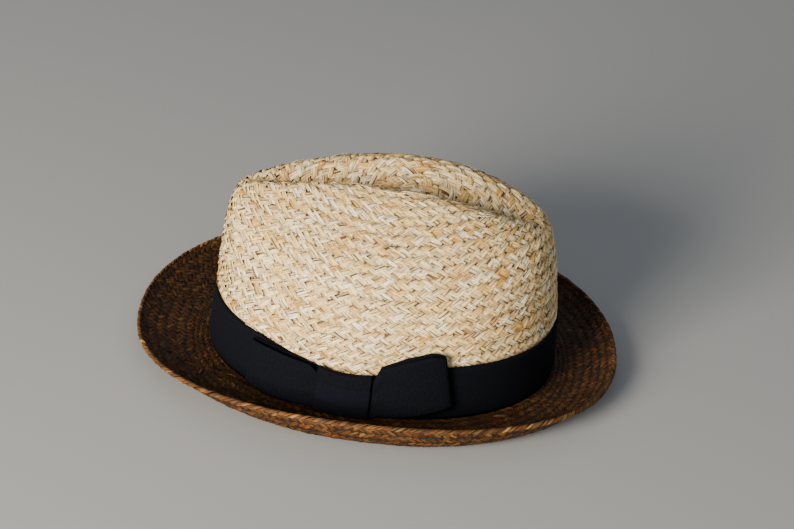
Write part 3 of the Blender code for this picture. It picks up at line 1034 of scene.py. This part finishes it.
def ribbonMaterial(name, look):
    material, shader = startMaterial(name, look["roughness"], look["specular"])
    tree = material.node_tree
    shade = addNode(tree, "ShaderNodeAttribute", attribute_name="strandShade")
    parts = addNode(tree, "ShaderNodeSeparateColor", {"Color": shade.outputs["Color"]})
    # painted shade: darker in the grooves between the ribs
    colour = mixNode(tree, parts.outputs["Red"], linearColour(look["colour"]), linearColour(look["grooveShade"]))
    # a dusting of lint in specks of one to two millimetres
    ribbonMap = addNode(tree, "ShaderNodeUVMap", uv_map="strandMap")
    specks = noiseNode(tree, ribbonMap.outputs["UV"], 0.7, 4.0, 0.7)
    dusting = rangeNode(tree, specks, *look["lintSpecks"], 0.0, look["lintShare"])
    dusted = mixNode(tree, dusting, colour, linearColour(look["lint"]))
    tree.links.new(dusted, shader.inputs["Base Color"])
    return material


def makeBand(cloth):
    plan = wallRing(surfaceTurns, np.full(len(surfaceTurns), (band["bottom"] + band["top"]) / 2))
    walked = walkedAlong(np.concatenate([plan, plan[:1]]))
    length = walked[-1]
    count = int(round(length / grosgrain["ribPitch"])) * 2
    at = np.interp(np.arange(count) / count * length, walked, np.append(surfaceTurns, fullTurn))
    share = np.linspace(0, 1, 13)[None, :]
    heights = band["bottom"] + (band["width"] - bandDip(at))[:, None] * share
    plan = wallRing(at[:, None] + 0 * share, heights)
    wave = band["wave"] * np.sin(at * band["waves"])[:, None] * np.sin(share * np.pi)
    level = band["gap"] + band["wall"] / 2 + wave
    plan = plan + planOut(plan) * level[..., None]
    plan[..., 1] += axisY
    middle = np.concatenate([plan, heights[..., None]], -1)
    part = ribbonStrip(middle, grosgrain, True)
    piece = makePiece("hat_band_ribbon", part, cloth, ["hat_band"])


bow = {
    "ribbonWidth": 31.0 * mm,
    "rise": 0.6 * mm,
    "knotWidth": 30.0 * mm,
    "knotHeight": 26.2 * mm,
    "depth": 4.2 * mm,
    "gather": 0.1,  # the share of a loop beside the knot over which it is gathered
    "gatheredRim": 1.3 * mm,  # that it stays inside the wrap's edges there
    "fold": 0.35 * mm,
    "folds": 17,
    "foldFade": 0.25,
    "foldStart": 12,
    "bendSteps": 24,
    "rootStart": 0.8 * mm,
    "stubs": (2.1 * mm, 3.4 * mm),  # levels of the loop's two roots inside the wrap
    "leaf": 0.8 * mm,
    "wrapFront": 4.7 * mm,
    "wrapBulge": 0.6 * mm,
    # along the wrap, from one side to the other: its height and its bulge, as shares
    "wrapStops": (-1, -0.5, 0, 0.5, 1),
    "wrapHeights": (1.06, 1, 0.97, 0.98, 1.03),
    "wrapBulges": (0, 0.8, 1, 0.8, 0),
    # the turned ribbon: reach out from the knot and lift off the band, as shares
    "turn": (
        (0.30, 0.0),
        (0.66, 0.0),
        (0.93, 0.06),
        (1.0, 0.42),
        (0.95, 0.82),
        (0.72, 1.0),
        (0.42, 0.98),
        (0.14, 0.74),
    ),
}

frontLoop = {
    "name": "bow_front_ribbon",
    "node": "bow_front_loop",
    "direction": -1,
    "length": 57.0 * mm,
    # reach, lower edge, upper edge, as shares of the loop and of the ribbon's width
    "edges": ((0, 0.04, 0.88), (0.25, 0.03, 0.93), (0.65, 0.02, 0.98), (1, 0.06, 0.97)),
    "lean": 0.04,
}

backLoop = {
    "name": "bow_back_ribbon",
    "node": "bow_back_loop",
    "direction": 1,
    "length": 56.3 * mm,
    "edges": ((0, 0.05, 1.00), (0.14, 0.06, 1.08), (0.45, 0.11, 1.26), (0.8, 0.22, 1.39), (1, 0.31, 1.35)),
    "lean": 0.19,
}


def makeLoop(loop, cloth):
    knotEdge = bow["knotWidth"] / 2
    beyond = loop["length"] - knotEdge
    leave = knotEdge + band["gap"]
    bend = [(leave, bow["stubs"][0])]
    bend += [(knotEdge + reach * beyond, bow["leaf"] + lift * bow["depth"]) for reach, lift in bow["turn"]]
    bend += [(leave, bow["stubs"][1])]
    root = [(bow["rootStart"], bow["stubs"][0])]
    tip = [(bow["rootStart"], bow["stubs"][1])]
    path = np.concatenate([root, smoothRows(bend, bow["bendSteps"]), tip])
    walked = walkedAlong(path)
    count = int(round(walked[-1] / grosgrain["ribPitch"])) * 4
    at = np.linspace(0, walked[-1], count + 1)
    out = np.interp(at, walked, path[:, 0])
    level = np.interp(at, walked, path[:, 1])
    reach = np.clip((out - leave) / beyond, 0, 1)
    edgeReach, bottomShare, topShare = np.array(loop["edges"]).T
    foot = band["bottom"] + bow["rise"]
    inside = bow["gatheredRim"]
    gathered = np.clip(1 - reach / bow["gather"], 0, 1)
    bottom = foot + bow["ribbonWidth"] * np.interp(reach, edgeReach, bottomShare)
    top = foot + bow["ribbonWidth"] * np.interp(reach, edgeReach, topShare)
    bottom += (foot + inside - bottom) * gathered
    top += (foot + bow["knotHeight"] * min(bow["wrapHeights"]) - inside - top) * gathered
    share = np.linspace(0, 1, 25)[None, :]
    heights = bottom[:, None] + (top - bottom)[:, None] * share
    shift = loop["lean"] * bow["ribbonWidth"] * (0.5 - share) * reach[:, None]
    # creased most of all just beside the knot
    creased = np.exp(-reach / bow["foldFade"]) * np.clip(reach * bow["foldStart"], 0, 1)
    folds = bow["fold"] * np.sin(share * bow["folds"] + 1.0) * creased[:, None]
    middle = besideBand(loop["direction"] * (out[:, None] + shift), heights, level[:, None] + folds)
    part = ribbonStrip(middle, grosgrain, False, reverse=loop["direction"] > 0)
    piece = makePiece(loop["name"], part, cloth, [loop["node"]])


def makeWrap(cloth):
    turns = np.linspace(0, fullTurn, 240, endpoint=False)
    c, s = np.cos(turns), np.sin(turns)
    # a flat ring with rounded corners, the squarer the lower these powers are
    frontShare = 0.5 + 0.5 * np.sign(c) * np.abs(c) ** 0.5
    upShare = 0.5 + 0.5 * np.sign(s) * np.abs(s) ** 0.35
    along = np.linspace(-1, 1, 33)
    tall = bow["knotHeight"] * np.interp(along, bow["wrapStops"], bow["wrapHeights"])
    bulge = bow["wrapBulge"] * np.interp(along, bow["wrapStops"], bow["wrapBulges"])
    levels = bow["leaf"] + (bow["wrapFront"] + bulge[None, :] - bow["leaf"]) * frontShare[:, None]
    heights = band["bottom"] + bow["rise"] + tall[None, :] * upShare[:, None]
    middle = besideBand(along[None, :] * bow["knotWidth"] / 2 + 0 * levels, heights, levels)
    part = ribbonStrip(middle, grosgrain, True, reverse=True)
    piece = makePiece("bow_wrap", part, cloth, ["bow_knot"])


blackGrosgrain = ribbonMaterial("black_grosgrain", grosgrain)
makeBand(blackGrosgrain)
makeLoop(frontLoop, blackGrosgrain)
makeLoop(backLoop, blackGrosgrain)
makeWrap(blackGrosgrain)
print("ribbon done")


# Floor and light


def makeStage():
    mesh = bpy.data.meshes.new("floor")
    half = 3.0
    corners = [(-half, -half, 0), (half, -half, 0), (half, half, 0), (-half, half, 0)]
    mesh.from_pydata(corners, [], [(0, 1, 2, 3)])
    floor = bpy.data.objects.new("floor", mesh)
    bpy.context.scene.collection.objects.link(floor)
    paint, shader = startMaterial("pale_matt_paint", 0.8, 0.5)
    shader.inputs["Base Color"].default_value = linearColour("#A4A5A6")
    mesh.materials.append(paint)


lights = (
    # name, place, size, watts, colour
    ("window_light", (1.5, -1.02, 0.56), 0.8, 95.0, "#FFF6E6"),
    ("room_fill", (1.2, 1.2, 1.3), 1.6, 3.0, "#E8F0FF"),
)


def makeLights():
    for name, place, size, watts, colour in lights:
        data = bpy.data.lights.new(name, "AREA")
        data.energy = watts
        data.size = size
        data.color = linearColour(colour)[:3]
        lamp = bpy.data.objects.new(name, data)
        lamp.location = place
        towards = np.array([0.0, 0.0, 0.05]) - np.array(place)
        lamp.rotation_mode = "QUATERNION"
        lamp.rotation_quaternion = Vector(towards).to_track_quat("-Z", "Y")
        bpy.context.scene.collection.objects.link(lamp)
    world = bpy.data.worlds.new("soft_room")
    bpy.context.scene.world = world
    world.use_nodes = True
    background = world.node_tree.nodes["Background"]
    background.inputs["Color"].default_value = linearColour("#C8CDD2")
    background.inputs["Strength"].default_value = 0.48


makeStage()
makeLights()
